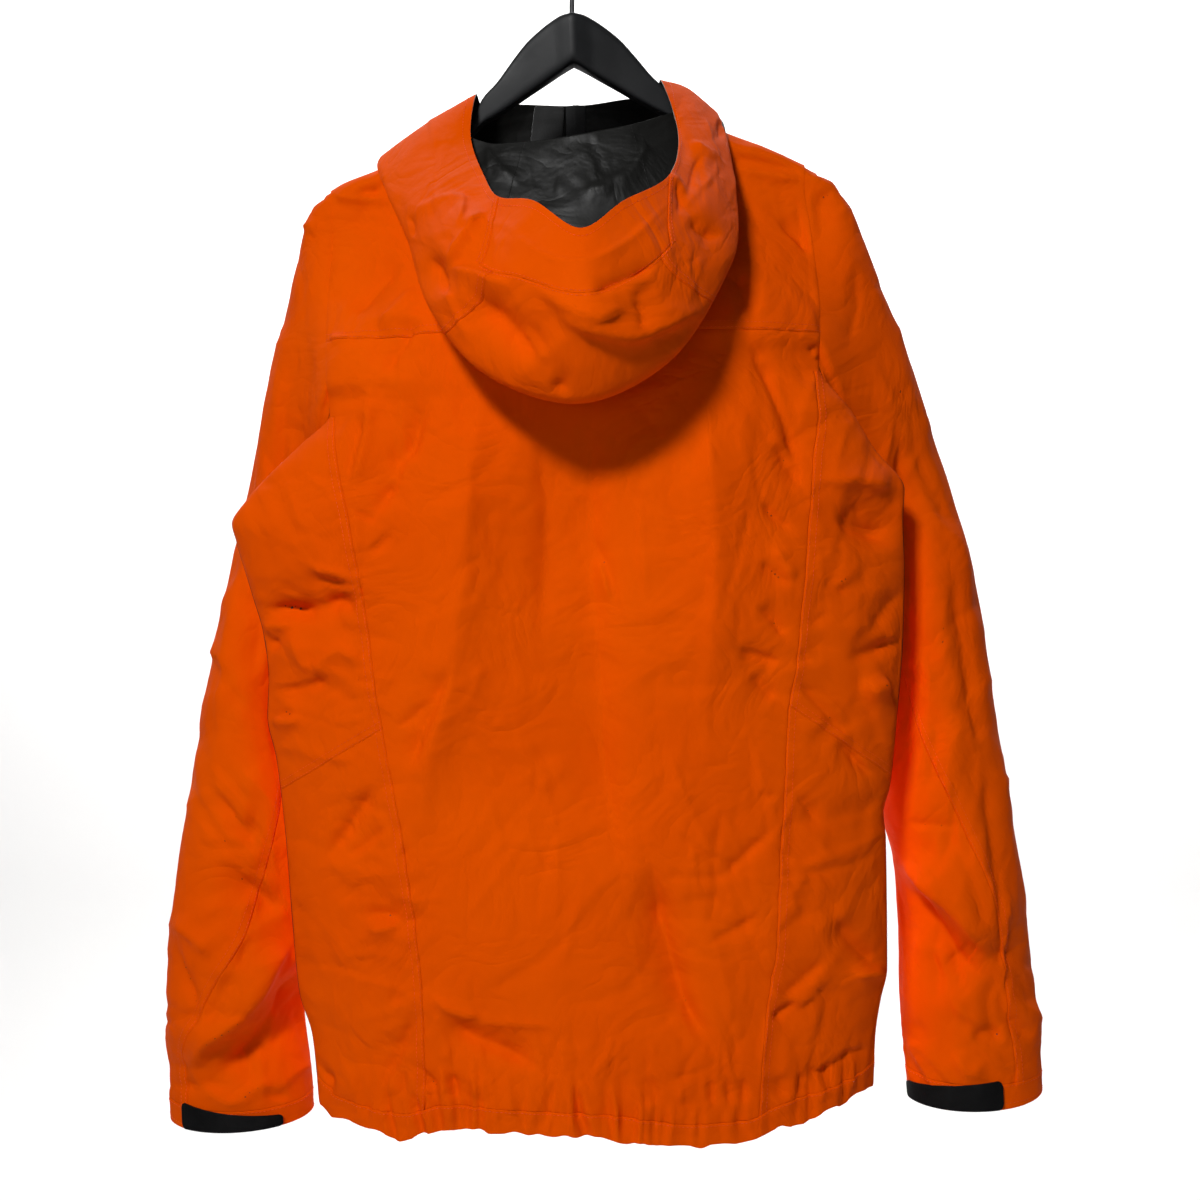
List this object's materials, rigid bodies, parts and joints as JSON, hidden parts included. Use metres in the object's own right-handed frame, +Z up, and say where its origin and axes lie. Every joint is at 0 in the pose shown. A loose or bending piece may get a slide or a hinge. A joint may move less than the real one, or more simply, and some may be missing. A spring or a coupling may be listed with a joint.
{
  "type": "shell jacket on a clothes hanger",
  "caption": "Hooded shell jacket with a front zip, slanting side panels and tabbed cuffs, open and empty, hanging on a moulded hanger with a wire hook.",
  "frame": {"origin": "the point at the top of the hook's bend, on the inside of its wire, that rests on a rail", "axes": "+Z up, +Y out of the jacket's front and -Y out of its back, -X towards the wearer's left sleeve"},
  "size_m": [0.6835, 0.2807, 0.9265],
  "materials": {
    "orange_shell": "dull ripstop weave with a light sheen",
    "zip_tape": "woven tape with moulded teeth",
    "charcoal_facing": "smooth brushed knit",
    "black_tab": "matte moulded tab",
    "dark_metal": "dark painted metal",
    "hanger_plastic": "matte with a fine grain",
    "hook_wire": "polished"
  },
  "bodies": {
    "jacket": {"back_panel": "orange_shell", "back_yoke": "orange_shell", "side_upper_left": "orange_shell", "side_upper_right": "orange_shell", "side_lower_left": "orange_shell", "side_lower_right": "orange_shell", "hem_back": "orange_shell", "front_left": "orange_shell", "front_right": "orange_shell", "hem_front_left": "orange_shell", "hem_front_right": "orange_shell", "collar_left": "orange_shell", "collar_right": "orange_shell", "hood_brim": "orange_shell", "hood_crown": "orange_shell", "hood_side_left": "orange_shell", "hood_side_right": "orange_shell", "sleeve_outer_left": "orange_shell", "sleeve_outer_right": "orange_shell", "sleeve_under_left": "orange_shell", "sleeve_under_right": "orange_shell", "cuff_left": "orange_shell", "cuff_right": "orange_shell", "cuff_tab_left": "black_tab", "cuff_tab_right": "black_tab", "zip": "zip_tape", "zip_slider": "dark_metal", "chin_guard": "charcoal_facing", "hanger": "hanger_plastic", "hanger_hook": "hook_wire"},
    "pull": {"zip_pull": "dark_metal"}
  },
  "joints": [
    {"name": "pull_hinge", "type": "hinge", "parent": "jacket", "child": "pull", "pos_m": [0.002, 0.08985, -0.124], "axis": [1, 0, 0], "range_deg": [0, 150]}
  ]
}
